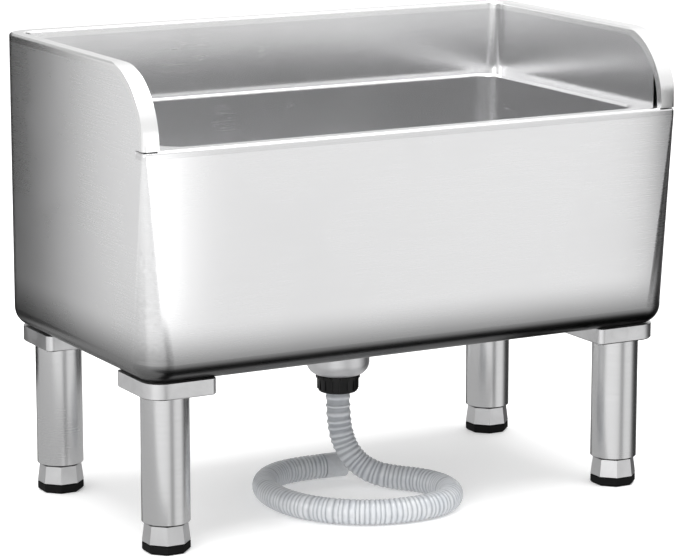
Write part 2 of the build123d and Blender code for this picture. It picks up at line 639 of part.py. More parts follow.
with BuildPart() as strainer_post:
    with BuildSketch(Plane.XY.offset(SEAL_BOTTOM + SEAL_THICK)):
        Circle(POST_R)
    extrude(amount=KNOB_TOP - SEAL_BOTTOM - SEAL_THICK)
    with BuildSketch(Plane.XY.offset(KNOB_TOP - KNOB_HEIGHT)):
        Circle(KNOB_R)
    extrude(amount=KNOB_HEIGHT)
    fillet(strainer_post.faces().sort_by(Axis.Z)[-1].edges(), KNOB_HEIGHT / 3)
save(strainer_post.part, "strainer_post")

with BuildPart() as strainer_seal:
    add(ring(SEAL_BOTTOM, SEAL_THICK, SEAL_BORE_R, SEAL_R))
    fillet(strainer_seal.edges().filter_by(GeomType.CIRCLE).sort_by(SortBy.RADIUS)[-2:], SEAL_THICK / 4)
save(strainer_seal.part, "strainer_seal")


# ---- drain hose -----------------------------------------------------------------------------------
# Corners of the hose's centre line: down out of the nut, then one loose loop on the floor.
FLOOR_LINE = HOSE_R + HOSE_LIFT
HOSE_ROUTE = [
    (0, 0, COUPLING_SEAT), (0, 0, 76), (3.5, -4, 48), (13, -14, 27), (28, -30, 16), (45, -46, FLOOR_LINE),
    (62, -66, FLOOR_LINE), (71, -95, FLOOR_LINE), (65, -126, FLOOR_LINE), (41, -151, FLOOR_LINE),
    (5, -159, FLOOR_LINE), (-37, -152, FLOOR_LINE), (-71, -130, FLOOR_LINE), (-94, -97, FLOOR_LINE),
    (-102, -56, FLOOR_LINE), (-96, -15, FLOOR_LINE), (-74, 18, FLOOR_LINE), (-38, 35, FLOOR_LINE),
    (0, 32, FLOOR_LINE),
]


def bend_radii(route):
    """Even bend at each corner: a share of the shorter run beside it over the tangent of half the turn."""
    radii = []
    for before, corner, after in zip(route, route[1:], route[2:]):
        run_in = Vector(*corner) - Vector(*before)
        run_out = Vector(*after) - Vector(*corner)
        half_turn = radians(run_in.get_angle(run_out)) / 2
        radii.append(BEND_SHARE * min(run_in.length, run_out.length) / tan(half_turn))
    return radii


HOSE_RADII = bend_radii(HOSE_ROUTE)
print("hose bend radii", [round(radius, 1) for radius in HOSE_RADII])

with BuildPart() as drain_hose:
    with BuildLine() as hose_line:
        FilletPolyline(*HOSE_ROUTE, radius=HOSE_RADII)
    with BuildSketch(Plane.XY.offset(COUPLING_SEAT)):
        Circle(HOSE_R)
        Circle(HOSE_BORE_R, mode=Mode.SUBTRACT)
    sweep()
save(drain_hose.part, "drain_hose")
hose_length = hose_line.wires()[0].length
print("hose length", round(hose_length, 1), "volume", round(drain_hose.part.volume, 1),
      "section times length", round(pi * (HOSE_R ** 2 - HOSE_BORE_R ** 2) * hose_length, 1))

CUFF_START = Vector(*HOSE_ROUTE[-1])
CUFF_WAY = (CUFF_START - Vector(*HOSE_ROUTE[-2])).normalized()
with BuildPart() as hose_cuff:
    with BuildSketch(Plane(origin=CUFF_START, z_dir=CUFF_WAY)):
        Circle(CUFF_R)
        Circle(CUFF_BORE_R, mode=Mode.SUBTRACT)
    extrude(amount=CUFF_LENGTH)
save(hose_cuff.part, "hose_cuff")
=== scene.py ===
import math

import bpy
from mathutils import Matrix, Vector


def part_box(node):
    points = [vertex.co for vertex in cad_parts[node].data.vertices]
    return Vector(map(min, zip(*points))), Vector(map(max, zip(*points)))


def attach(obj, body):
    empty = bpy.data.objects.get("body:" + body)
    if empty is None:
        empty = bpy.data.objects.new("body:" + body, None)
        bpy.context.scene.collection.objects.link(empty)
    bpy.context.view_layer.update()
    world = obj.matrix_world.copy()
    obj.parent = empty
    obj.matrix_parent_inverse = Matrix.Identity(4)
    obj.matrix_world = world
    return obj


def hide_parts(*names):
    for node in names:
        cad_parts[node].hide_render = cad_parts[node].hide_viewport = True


bl_info = {
    "name": "Pet Bathtub Looks",
    "version": (1, 0, 0),
    "blender": (4, 5, 0),
    "location": "View3D > Sidebar > Pet Bathtub",
    "description": "Finishes, drain hose and studio of a stainless pet bathtub",
    "category": "Object",
}

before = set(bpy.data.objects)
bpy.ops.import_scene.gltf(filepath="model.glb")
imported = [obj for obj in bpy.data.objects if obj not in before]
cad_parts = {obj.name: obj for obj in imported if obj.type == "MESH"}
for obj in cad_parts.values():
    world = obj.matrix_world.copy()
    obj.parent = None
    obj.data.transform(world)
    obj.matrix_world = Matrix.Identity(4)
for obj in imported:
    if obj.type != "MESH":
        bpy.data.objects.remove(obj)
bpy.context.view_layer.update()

CORNERS = ("front_left", "front_right", "rear_left", "rear_right")

# The drain hose: down out of the coupling nut, one loose turn on the floor and back under the tub.
HOSE_ROUTE = [
    (0.0, 0.0, 0.105), (0.0, 0.0, 0.076), (0.0035, -0.004, 0.048), (0.013, -0.014, 0.027),
    (0.028, -0.030, 0.016), (0.045, -0.046, 0.0132), (0.062, -0.066, 0.0132), (0.071, -0.095, 0.0132),
    (0.065, -0.126, 0.0132), (0.041, -0.151, 0.0132), (0.005, -0.159, 0.0132), (-0.037, -0.152, 0.0132),
    (-0.071, -0.130, 0.0132), (-0.094, -0.097, 0.0132), (-0.102, -0.056, 0.0132), (-0.096, -0.015, 0.0132),
    (-0.074, 0.018, 0.0132), (-0.038, 0.035, 0.0132), (0.0, 0.032, 0.0132),
]

# Cards beside and under the tub that only show in its polished faces: name, lowest and highest corner, glow.
REFLECTED_CARDS = [
    ("rear_left_card", (-0.49, 0.40, 0.05), (-0.20, 0.40, 0.55), 0.0),
    ("front_right_card", (0.375, -0.30, 0.16), (0.60, -0.30, 0.46), 0.0),
    ("corner_glow_card", (-0.30, -0.30, 0.20), (-0.205, -0.30, 0.45), 1.5),
    ("left_floor_card", (-1.20, -0.30, 0.001), (-0.30, 0.75, 0.001), 0.50),
    ("middle_floor_card", (-0.21, -0.20, 0.001), (0.22, 0.50, 0.001), 0.50),
]

# How finely the hose is cut: steps between two points of its route, rings along one rib and sides around it.
ROUTE_STEPS = 20
RINGS_PER_RIB = 8
HOSE_SIDES = 28

# How narrow a rib's crest is where the ribs lie close, how much narrower where they are pulled apart, and how
# often the ribs' unevenness changes in a metre.
RIB_SHARPNESS = 0.8
PULLED_SHARPNESS = 4.0
UNEVEN_PER_METRE = 70.0

# Colours of the bare metal under the tub and in the drain, and of the black cards.
ZINC_COLOUR = (0.55, 0.57, 0.59)
STUD_COLOUR = (0.78, 0.78, 0.79)
CUP_COLOUR = (0.86, 0.86, 0.87)
BASKET_COLOUR = (0.84, 0.84, 0.85)
SCREW_COLOUR = (0.82, 0.82, 0.83)
CARD_COLOUR = (0.01, 0.01, 0.01)

# Width and length of the grain on turned and pressed drain parts, and of the crystals on zinc.
DRAIN_GRAIN = (0.0004, 0.02)
ZINC_GRAIN = (0.004, 0.006)

# Depth of the bump that a full grain gives.
SHEET_BUMP_DEPTH = 0.00004
MOULDED_BUMP_DEPTH = 0.00006

# The camera's small shift off its aim, in frame widths.
CAMERA_SHIFT = (0.0024, -0.028)

# The floor reaches this far each way.
FLOOR_REACH = 40.0

# Soft lights: name, place, aim, size and power in watts.
SOFTBOXES = [
    ("top_light", (0.0, -0.3, 2.6), (0.0, 0.0, 0.3), (2.6, 2.2), 60.0),
    ("left_light", (-2.4, -1.6, 1.4), (0.0, 0.0, 0.3), (1.6, 1.8), 26.0),
]

# The surround is black below the first height, pale above the second, and has a brighter sky between the
# last two heights and above them. A height is the upward part of the way one looks.
UNDERFOOT = (-0.72, -0.205)
OVERHEAD = (0.22, 0.60)
SURROUND_LIGHT = 0.95
OVERHEAD_LIGHT = 1.1

# Patches of the surround that are brighter or darker: compass heading in degrees (0 is the front), half
# widths of the full and of the fading patch, and how much brighter or darker it is.
FLAGS = [(-65, 20, 60, 0.12), (96, 14, 44, -0.96), (179, 8, 26, -0.97), (6, 2, 13, -0.62)]


# ---- sizes and colours that a user would change ---------------------------------------------------
class SteelFinish(bpy.types.PropertyGroup):
    """Colours, grain and painted fold shade of the sheet steel, the tubes and the castings."""

    outside: bpy.props.FloatVectorProperty(
        name="Outer Sheet", description="Colour of the satin sheet outside", subtype="COLOR", size=3,
        min=0.0, max=1.0, default=(0.90, 0.90, 0.905))
    inside: bpy.props.FloatVectorProperty(
        name="Inner Sheet", description="Colour of the brushed sheet inside the guard and the basin",
        subtype="COLOR", size=3, min=0.0, max=1.0, default=(0.80, 0.80, 0.805))
    folded: bpy.props.FloatVectorProperty(
        name="Guard Edge", description="Colour of the polished strip along the guard's edge",
        subtype="COLOR", size=3, min=0.0, max=1.0, default=(0.90, 0.90, 0.90))
    tube: bpy.props.FloatVectorProperty(
        name="Leg Tube", description="Colour of the brushed leg tubes", subtype="COLOR", size=3,
        min=0.0, max=1.0, default=(0.74, 0.74, 0.745))
    cast: bpy.props.FloatVectorProperty(
        name="Casting", description="Colour of the leg blocks", subtype="COLOR",
        size=3, min=0.0, max=1.0, default=(0.80, 0.80, 0.805))
    foot: bpy.props.FloatVectorProperty(
        name="Foot", description="Colour of the levelling feet", subtype="COLOR", size=3, min=0.0, max=1.0,
        default=(0.66, 0.66, 0.665))
    # Painted shade: the outer sheet's colour is darkened towards its bottom fold, standing in for the shade
    # that falls there.
    painted_fold_shade: bpy.props.FloatProperty(
        name="Fold Shade", description="How much darker the outer sheet is at its bottom fold",
        subtype="FACTOR", min=0.0, max=1.0, default=0.85)
    fold_reach: bpy.props.FloatProperty(
        name="Shade Reach", description="How far above the bottom fold that shade is gone", unit="LENGTH",
        min=0.001, default=0.060)
    grain_width: bpy.props.FloatProperty(
        name="Grain Width", description="Width of one brushed line", unit="LENGTH", min=0.0001,
        default=0.0005)
    grain_length: bpy.props.FloatProperty(
        name="Grain Length", description="Length of one brushed line", unit="LENGTH", min=0.001,
        default=0.045)


class HoseSizes(bpy.types.PropertyGroup):
    """Sizes and colours of the corrugated drain hose."""

    diameter: bpy.props.FloatProperty(
        name="Diameter", description="Diameter across the ribs", unit="LENGTH", default=0.026)
    groove: bpy.props.FloatProperty(
        name="Groove Depth", description="Depth of a groove between two ribs", unit="LENGTH",
        default=0.0011)
    pitch: bpy.props.FloatProperty(
        name="Rib Pitch", description="Distance between ribs where the hose isn't pulled out",
        unit="LENGTH", default=0.0049)
    pulled_pitch: bpy.props.FloatProperty(
        name="Pulled Pitch", description="Distance between ribs at the nut, where the hose hangs",
        unit="LENGTH", default=0.0125)
    pulled_length: bpy.props.FloatProperty(
        name="Pulled Length", description="Stretch over which the ribs close up again", unit="LENGTH",
        default=0.05)
    unevenness: bpy.props.FloatProperty(
        name="Unevenness", description="How far a rib may sit from its even place, in ribs", min=0.0,
        default=1.1)
    wall: bpy.props.FloatProperty(
        name="Wall", description="Thickness of the plastic", unit="LENGTH", default=0.0008)
    colour: bpy.props.FloatVectorProperty(
        name="Plastic", description="Colour of the plastic", subtype="COLOR", size=3, min=0.0, max=1.0,
        default=(0.60, 0.615, 0.635))
    # Painted shade: a darker colour for the plastic at the bottom of each groove, where shade falls.
    groove_shade_colour: bpy.props.FloatVectorProperty(
        name="Groove", description="Colour of the plastic at the bottom of a groove", subtype="COLOR",
        size=3, min=0.0, max=1.0, default=(0.36, 0.375, 0.395))


class TrimFinish(bpy.types.PropertyGroup):
    """Colours of the plastic and rubber parts."""

    black_plastic: bpy.props.FloatVectorProperty(
        name="Black Plastic", description="Colour of the coupling nut", subtype="COLOR", size=3,
        min=0.0, max=1.0, default=(0.005, 0.005, 0.005))
    white_plastic: bpy.props.FloatVectorProperty(
        name="White Plastic", description="Colour of the back nut", subtype="COLOR", size=3,
        min=0.0, max=1.0, default=(0.72, 0.72, 0.70))
    rubber: bpy.props.FloatVectorProperty(
        name="Rubber", description="Colour of the foot pads", subtype="COLOR", size=3, min=0.0,
        max=1.0, default=(0.005, 0.005, 0.005))
    seal: bpy.props.FloatVectorProperty(
        name="Seal Rubber", description="Colour of the gaskets and seals", subtype="COLOR", size=3,
        min=0.0, max=1.0, default=(0.09, 0.09, 0.09))


class StudioSetup(bpy.types.PropertyGroup):
    """Floor, light and camera."""

    floor: bpy.props.FloatVectorProperty(
        name="Floor", description="Colour of the floor", subtype="COLOR", size=3, min=0.0, max=1.0,
        default=(0.93, 0.93, 0.93))
    floor_glow: bpy.props.FloatProperty(
        name="Floor Glow", description="Light that the floor gives of its own, which lifts the shadow",
        min=0.0, default=0.25)
    aim_height: bpy.props.FloatProperty(
        name="Aim Height", description="Height that the camera looks at", unit="LENGTH", default=0.240)
    azimuth: bpy.props.FloatProperty(
        name="Azimuth", description="Turn of the camera about the tub", subtype="ANGLE",
        unit="ROTATION", default=math.radians(-28.7))
    elevation: bpy.props.FloatProperty(
        name="Elevation", description="Height of the camera above the horizon", subtype="ANGLE",
        unit="ROTATION", default=math.radians(11.35))
    distance: bpy.props.FloatProperty(
        name="Distance", description="Camera's distance from its aim", unit="LENGTH", default=3.249)
    lens: bpy.props.FloatProperty(
        name="Lens", description="Focal length on a 36 mm sensor", subtype="DISTANCE_CAMERA",
        default=166.7)


# ---- node helpers ---------------------------------------------------------------------------------
def add_node(tree, kind, settings=None, **values):
    """A new node, with its settings and the values of its unlinked inputs."""
    node = tree.nodes.new(kind)
    for name, value in (settings or {}).items():
        setattr(node, name, value)
    for name, value in values.items():
        node.inputs[name.replace("_", " ")].default_value = value
    return node


def math_node(tree, operation, first, second=None, third=None):
    """A math node whose inputs are sockets or numbers; gives its output socket."""
    node = tree.nodes.new("ShaderNodeMath")
    node.operation = operation
    for place, value in enumerate((first, second, third)):
        if isinstance(value, bpy.types.NodeSocket):
            tree.links.new(value, node.inputs[place])
        elif value is not None:
            node.inputs[place].default_value = value
    return node.outputs[0]


def soft_step(tree, value, low, high, to_low=0.0, to_high=1.0):
    """Eases from to_low to to_high as value goes from low to high."""
    node = tree.nodes.new("ShaderNodeMapRange")
    node.interpolation_type = "SMOOTHSTEP"
    tree.links.new(value, node.inputs["Value"])
    for name, number in zip(("From Min", "From Max", "To Min", "To Max"), (low, high, to_low, to_high)):
        node.inputs[name].default_value = number
    return node.outputs["Result"]


def group_tree(name, inputs, outputs):
    """A shader node group with its interface; gives the tree, its input node and its output node."""
    tree = bpy.data.node_groups.new(name, "ShaderNodeTree")
    for socket, kind, default in inputs:
        item = tree.interface.new_socket(name=socket, in_out="INPUT", socket_type=kind)
        if default is not None:
            item.default_value = default
    for socket, kind in outputs:
        tree.interface.new_socket(name=socket, in_out="OUTPUT", socket_type=kind)
    return tree, tree.nodes.new("NodeGroupInput"), tree.nodes.new("NodeGroupOutput")


# ---- effects that several finishes share ----------------------------------------------------------
def brushed_grain():
    """Fine lines left by brushing. They run level on walls, and along X on level faces."""
    tree, given, made = group_tree(
        "brushed_grain",
        [("Width", "NodeSocketFloat", 0.0005), ("Length", "NodeSocketFloat", 0.045)],
        [("Height", "NodeSocketFloat"), ("Tone", "NodeSocketFloat")])
    place = tree.nodes.new("ShaderNodeTexCoord").outputs["Object"]
    facing = add_node(tree, "ShaderNodeSeparateXYZ")
    tree.links.new(tree.nodes.new("ShaderNodeNewGeometry").outputs["Normal"], facing.inputs[0])
    level = soft_step(tree, math_node(tree, "ABSOLUTE", facing.outputs["Z"]), 0.6, 0.8)
    fine = math_node(tree, "DIVIDE", 1.0, given.outputs["Width"])
    coarse = math_node(tree, "DIVIDE", 1.0, given.outputs["Length"])
    heights = []
    for across in ("Z", "Y"):
        scale = add_node(tree, "ShaderNodeCombineXYZ")
        for axis in "XYZ":
            tree.links.new(fine if axis == across else coarse, scale.inputs[axis])
        stretched = add_node(tree, "ShaderNodeVectorMath", {"operation": "MULTIPLY"})
        tree.links.new(place, stretched.inputs[0])
        tree.links.new(scale.outputs[0], stretched.inputs[1])
        noise = add_node(tree, "ShaderNodeTexNoise", Scale=1.0, Detail=2.0, Roughness=0.6)
        tree.links.new(stretched.outputs[0], noise.inputs["Vector"])
        heights.append(noise.outputs["Fac"])
    blend = add_node(tree, "ShaderNodeMix", {"data_type": "FLOAT"})
    tree.links.new(level, blend.inputs["Factor"])
    tree.links.new(heights[0], blend.inputs["A"])
    tree.links.new(heights[1], blend.inputs["B"])
    tree.links.new(blend.outputs["Result"], made.inputs["Height"])
    tree.links.new(soft_step(tree, blend.outputs["Result"], 0.3, 0.7), made.inputs["Tone"])
    return tree


def handling_marks():
    """Faint broad smudges and wiped patches that change the gloss a little."""
    tree, given, made = group_tree(
        "handling_marks",
        [("Size", "NodeSocketFloat", 0.09)],
        [("Mask", "NodeSocketFloat"), ("Speckle", "NodeSocketFloat")])
    place = tree.nodes.new("ShaderNodeTexCoord").outputs["Object"]
    scaled = add_node(tree, "ShaderNodeVectorMath", {"operation": "SCALE"})
    tree.links.new(place, scaled.inputs[0])
    tree.links.new(math_node(tree, "DIVIDE", 1.0, given.outputs["Size"]), scaled.inputs["Scale"])
    broad = add_node(tree, "ShaderNodeTexNoise", Scale=1.0, Detail=3.0, Roughness=0.55, Distortion=0.6)
    fine = add_node(tree, "ShaderNodeTexNoise", Scale=24.0, Detail=2.0, Roughness=0.5)
    for noise in (broad, fine):
        tree.links.new(scaled.outputs[0], noise.inputs["Vector"])
    tree.links.new(soft_step(tree, broad.outputs["Fac"], 0.42, 0.68), made.inputs["Mask"])
    tree.links.new(soft_step(tree, fine.outputs["Fac"], 0.55, 0.75), made.inputs["Speckle"])
    return tree


def moulded_grain():
    """The fine skin of a casting or a moulding: a matt grain with a few flow marks."""
    tree, given, made = group_tree(
        "moulded_grain",
        [("Grain", "NodeSocketFloat", 0.0006)],
        [("Height", "NodeSocketFloat"), ("Tone", "NodeSocketFloat")])
    place = tree.nodes.new("ShaderNodeTexCoord").outputs["Object"]
    scaled = add_node(tree, "ShaderNodeVectorMath", {"operation": "SCALE"})
    tree.links.new(place, scaled.inputs[0])
    tree.links.new(math_node(tree, "DIVIDE", 1.0, given.outputs["Grain"]), scaled.inputs["Scale"])
    pits = add_node(tree, "ShaderNodeTexNoise", Scale=1.0, Detail=2.0, Roughness=0.5)
    flow = add_node(tree, "ShaderNodeTexNoise", Scale=0.04, Detail=3.0, Roughness=0.6, Distortion=0.8)
    for noise in (pits, flow):
        tree.links.new(scaled.outputs[0], noise.inputs["Vector"])
    tree.links.new(pits.outputs["Fac"], made.inputs["Height"])
    tree.links.new(soft_step(tree, flow.outputs["Fac"], 0.35, 0.7), made.inputs["Tone"])
    return tree


def place_group(tree, name, **values):
    """A shared effect, placed in a material with its own values."""
    node = tree.nodes.new("ShaderNodeGroup")
    node.node_tree = bpy.data.node_groups[name]
    for socket, value in values.items():
        node.inputs[socket].default_value = value
    return node


# ---- finishes -------------------------------------------------------------------------------------
def blank_finish(name):
    """A new material with its principled shader; gives the material, its tree and the shader."""
    material = bpy.data.materials.new(name)
    material.use_nodes = True
    tree = material.node_tree
    return material, tree, tree.nodes["Principled BSDF"]


def tinted(tree, colour, mask, share):
    """The colour, darker by share where the mask is 1."""
    mix = add_node(tree, "ShaderNodeMix", {"data_type": "RGBA"})
    mix.inputs["A"].default_value = (*colour, 1.0)
    mix.inputs["B"].default_value = (*(part * (1.0 - share) for part in colour), 1.0)
    tree.links.new(mask, mix.inputs["Factor"])
    return mix.outputs["Result"]


def bumped(tree, shader, height, depth, strength):
    """Feeds a bump of that depth to the shader's normal."""
    bump = add_node(tree, "ShaderNodeBump", Strength=strength, Distance=depth)
    tree.links.new(height, bump.inputs["Height"])
    tree.links.new(bump.outputs["Normal"], shader.inputs["Normal"])


def painted_shade_above_fold(tree, reach):
    """Mask of the painted shade: 1 at the tub's bottom fold, fading to 0 that far above it."""
    place = add_node(tree, "ShaderNodeSeparateXYZ")
    tree.links.new(tree.nodes.new("ShaderNodeTexCoord").outputs["Object"], place.inputs[0])
    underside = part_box("outer_shell")[0].z
    return soft_step(tree, place.outputs["Z"], underside, underside + reach, 1.0, 0.0)


def sheet_finish(name, colour, roughness, grain, anisotropy=0.0, marks=0.05, bump=0.10, shade=None):
    """Brushed or satin sheet steel. Shade is the painted shade at its bottom fold: how dark it is, and how
    far that reaches.
    """
    material, tree, shader = blank_finish(name)
    lines = place_group(tree, "brushed_grain", Width=grain[0], Length=grain[1])
    wiped = place_group(tree, "handling_marks")
    shader.inputs["Metallic"].default_value = 1.0
    shader.inputs["Anisotropic"].default_value = anisotropy
    mask = math_node(tree, "MAXIMUM", math_node(tree, "MULTIPLY", lines.outputs["Tone"], 0.7),
                     math_node(tree, "MULTIPLY", wiped.outputs["Mask"], 0.5))
    tint = tinted(tree, colour, mask, marks)
    # Painted shade: the base colour is darkened towards the bottom fold.
    if shade:
        darkness, reach = shade
        left = 1.0 - darkness
        dark = add_node(tree, "ShaderNodeMix", {"data_type": "RGBA", "blend_type": "MULTIPLY"})
        dark.inputs["B"].default_value = (left, left, left, 1.0)
        tree.links.new(painted_shade_above_fold(tree, reach), dark.inputs["Factor"])
        tree.links.new(tint, dark.inputs["A"])
        tint = dark.outputs["Result"]
    tree.links.new(tint, shader.inputs["Base Color"])
    rough = math_node(tree, "MULTIPLY_ADD", wiped.outputs["Mask"], 0.015, roughness)
    rough = math_node(tree, "MULTIPLY_ADD", lines.outputs["Tone"], 0.02, rough)
    tree.links.new(rough, shader.inputs["Roughness"])
    bumped(tree, shader, lines.outputs["Height"], SHEET_BUMP_DEPTH, bump)
    return material


def moulded_finish(name, colour, roughness, metallic=0.0, grain=0.0006, coat=0.0, bump=0.25, marks=0.12,
                   gloss=0.5):
    """A casting, a plastic moulding or rubber."""
    material, tree, shader = blank_finish(name)
    skin = place_group(tree, "moulded_grain", Grain=grain)
    wiped = place_group(tree, "handling_marks", Size=0.03)
    shader.inputs["Metallic"].default_value = metallic
    shader.inputs["Specular IOR Level"].default_value = gloss
    shader.inputs["Coat Weight"].default_value = coat
    shader.inputs["Coat Roughness"].default_value = 0.25
    mask = math_node(tree, "MAXIMUM", skin.outputs["Tone"], wiped.outputs["Speckle"])
    tree.links.new(tinted(tree, colour, mask, marks), shader.inputs["Base Color"])
    rough = math_node(tree, "MULTIPLY_ADD", wiped.outputs["Mask"], 0.07, roughness)
    tree.links.new(rough, shader.inputs["Roughness"])
    bumped(tree, shader, skin.outputs["Height"], MOULDED_BUMP_DEPTH, bump)
    return material


def hose_finish(sizes):
    """Whitish, slightly see-through plastic, with painted shade at the bottom of each groove."""
    material, tree, shader = blank_finish("hose_plastic")
    crest = add_node(tree, "ShaderNodeAttribute", {"attribute_name": "crest"}).outputs["Fac"]
    skin = place_group(tree, "moulded_grain", Grain=0.0012)
    # Painted shade in the grooves: the colour goes from the groove shade colour at a groove's bottom to the
    # plastic's colour on a crest.
    mix = add_node(tree, "ShaderNodeMix", {"data_type": "RGBA"})
    mix.inputs["A"].default_value = (*sizes.groove_shade_colour, 1.0)
    mix.inputs["B"].default_value = (*sizes.colour, 1.0)
    tree.links.new(soft_step(tree, crest, 0.15, 0.85), mix.inputs["Factor"])
    cloudy = add_node(tree, "ShaderNodeMix", {"data_type": "RGBA", "blend_type": "MULTIPLY"})
    cloudy.inputs["B"].default_value = (0.90, 0.91, 0.93, 1.0)
    tree.links.new(skin.outputs["Tone"], cloudy.inputs["Factor"])
    tree.links.new(mix.outputs["Result"], cloudy.inputs["A"])
    tree.links.new(cloudy.outputs["Result"], shader.inputs["Base Color"])
    tree.links.new(soft_step(tree, crest, 0.0, 1.0, 0.34, 0.20), shader.inputs["Roughness"])
    shader.inputs["Subsurface Weight"].default_value = 0.25
    shader.inputs["Subsurface Radius"].default_value = (0.004, 0.004, 0.004)
    shader.inputs["Subsurface Scale"].default_value = 1.0
    shader.inputs["Coat Weight"].default_value = 0.25
    shader.inputs["Coat Roughness"].default_value = 0.18
    bumped(tree, shader, skin.outputs["Height"], 0.00005, 0.2)
    return material


def paint(node, material):
    """Gives a piece one finish."""
    node.data.materials.clear()
    node.data.materials.append(material)


def paint_nodes(names, material):
    """Gives CAD nodes one finish."""
    for name in names:
        paint(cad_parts[name], material)


# ---- drain hose -----------------------------------------------------------------------------------
def hose_line():
    """The hose's centre line as a mesh of points joined by edges, read from one smooth spline."""
    curve = bpy.data.curves.new("hose_route", "CURVE")
    curve.dimensions = "3D"
    curve.resolution_u = ROUTE_STEPS
    spline = curve.splines.new("NURBS")
    spline.points.add(len(HOSE_ROUTE) - 1)
    for point, place in zip(spline.points, HOSE_ROUTE):
        point.co = (*place, 1.0)
    spline.order_u = 3
    spline.use_endpoint_u = True
    holder = bpy.data.objects.new("hose_route", curve)
    bpy.context.scene.collection.objects.link(holder)
    bpy.context.view_layer.update()
    line = bpy.data.meshes.new_from_object(holder.evaluated_get(bpy.context.evaluated_depsgraph_get()))
    bpy.data.objects.remove(holder)
    return line


def hose_tree():
    """Sweeps a ribbed tube along the line: ribs are pulled apart near its start and even after that."""
    tree = bpy.data.node_groups.new("corrugated_hose", "GeometryNodeTree")
    face = tree.interface
    face.new_socket(name="Line", in_out="INPUT", socket_type="NodeSocketGeometry")
    for name in ("Diameter", "Groove", "Pitch", "Pulled Pitch", "Pulled Length", "Unevenness"):
        face.new_socket(name=name, in_out="INPUT", socket_type="NodeSocketFloat")
    for name in ("Rings Per Rib", "Sides"):
        face.new_socket(name=name, in_out="INPUT", socket_type="NodeSocketInt")
    face.new_socket(name="Finish", in_out="INPUT", socket_type="NodeSocketMaterial")
    face.new_socket(name="Hose", in_out="OUTPUT", socket_type="NodeSocketGeometry")
    given = tree.nodes.new("NodeGroupInput").outputs
    made = tree.nodes.new("NodeGroupOutput")
    line = add_node(tree, "GeometryNodeMeshToCurve")
    tree.links.new(given["Line"], line.inputs["Mesh"])
    whole = add_node(tree, "GeometryNodeCurveLength")
    tree.links.new(line.outputs["Curve"], whole.inputs["Curve"])
    ribs = math_node(tree, "DIVIDE", whole.outputs["Length"], given["Pitch"])
    rings = math_node(tree, "MULTIPLY", ribs, given["Rings Per Rib"])
    even = add_node(tree, "GeometryNodeResampleCurve")
    tree.links.new(line.outputs["Curve"], even.inputs["Curve"])
    tree.links.new(rings, even.inputs["Count"])
    along = tree.nodes.new("GeometryNodeSplineParameter").outputs["Length"]
    ease = math_node(tree, "EXPONENT", math_node(
        tree, "MULTIPLY", math_node(tree, "DIVIDE", along, given["Pulled Length"]), -1.0))
    missing = math_node(tree, "SUBTRACT", math_node(tree, "DIVIDE", 1.0, given["Pitch"]),
                        math_node(tree, "DIVIDE", 1.0, given["Pulled Pitch"]))
    lost = math_node(tree, "MULTIPLY", math_node(tree, "MULTIPLY", missing, given["Pulled Length"]),
                     math_node(tree, "SUBTRACT", 1.0, ease))
    phase = math_node(tree, "SUBTRACT", math_node(tree, "DIVIDE", along, given["Pitch"]), lost)
    uneven = add_node(tree, "ShaderNodeTexNoise", {"noise_dimensions": "1D"}, Scale=UNEVEN_PER_METRE,
                      Detail=1.0)
    tree.links.new(along, uneven.inputs["W"])
    phase = math_node(tree, "MULTIPLY_ADD", uneven.outputs["Fac"], given["Unevenness"], phase)
    wave = math_node(tree, "ABSOLUTE", math_node(tree, "SINE", math_node(
        tree, "MULTIPLY", phase, math.pi)))
    sharpness = math_node(tree, "MULTIPLY_ADD", ease, PULLED_SHARPNESS, RIB_SHARPNESS)
    crest = math_node(tree, "POWER", wave, sharpness)
    cut = math_node(tree, "MULTIPLY", given["Groove"], math_node(tree, "SUBTRACT", 1.0, crest))
    radius = math_node(tree, "SUBTRACT", math_node(tree, "MULTIPLY", given["Diameter"], 0.5), cut)
    marked = add_node(tree, "GeometryNodeStoreNamedAttribute",
                      {"data_type": "FLOAT", "domain": "POINT"}, Name="crest")
    tree.links.new(even.outputs["Curve"], marked.inputs["Geometry"])
    tree.links.new(crest, marked.inputs["Value"])
    ring = add_node(tree, "GeometryNodeCurvePrimitiveCircle", Radius=1.0)
    tree.links.new(given["Sides"], ring.inputs["Resolution"])
    tube = add_node(tree, "GeometryNodeCurveToMesh")
    tree.links.new(marked.outputs["Geometry"], tube.inputs["Curve"])
    tree.links.new(radius, tube.inputs["Scale"])
    tree.links.new(ring.outputs["Curve"], tube.inputs["Profile Curve"])
    smooth = add_node(tree, "GeometryNodeSetShadeSmooth")
    tree.links.new(tube.outputs["Mesh"], smooth.inputs[0])
    real = add_node(tree, "GeometryNodeRealizeInstances")
    tree.links.new(smooth.outputs[0], real.inputs[0])
    finish = add_node(tree, "GeometryNodeSetMaterial")
    tree.links.new(real.outputs[0], finish.inputs["Geometry"])
    tree.links.new(given["Finish"], finish.inputs["Material"])
    tree.links.new(finish.outputs["Geometry"], made.inputs["Hose"])
    return tree


def grow(name, mesh, tree, values):
    """Runs a geometry tree on a mesh and gives the result as a plain piece."""
    piece = bpy.data.objects.new(name, mesh)
    bpy.context.scene.collection.objects.link(piece)
    nodes = piece.modifiers.new(tree.name, "NODES")
    nodes.node_group = tree
    sockets = {item.name: item.identifier for item in tree.interface.items_tree
               if item.in_out == "INPUT"}
    for socket, value in values.items():
        nodes[sockets[socket]] = value
    bpy.context.view_layer.update()
    made = bpy.data.meshes.new_from_object(piece.evaluated_get(bpy.context.evaluated_depsgraph_get()))
    if not made.polygons:
        raise RuntimeError(f"{name}: its geometry tree made no faces")
    piece.modifiers.remove(nodes)
    piece.data = made
    return piece


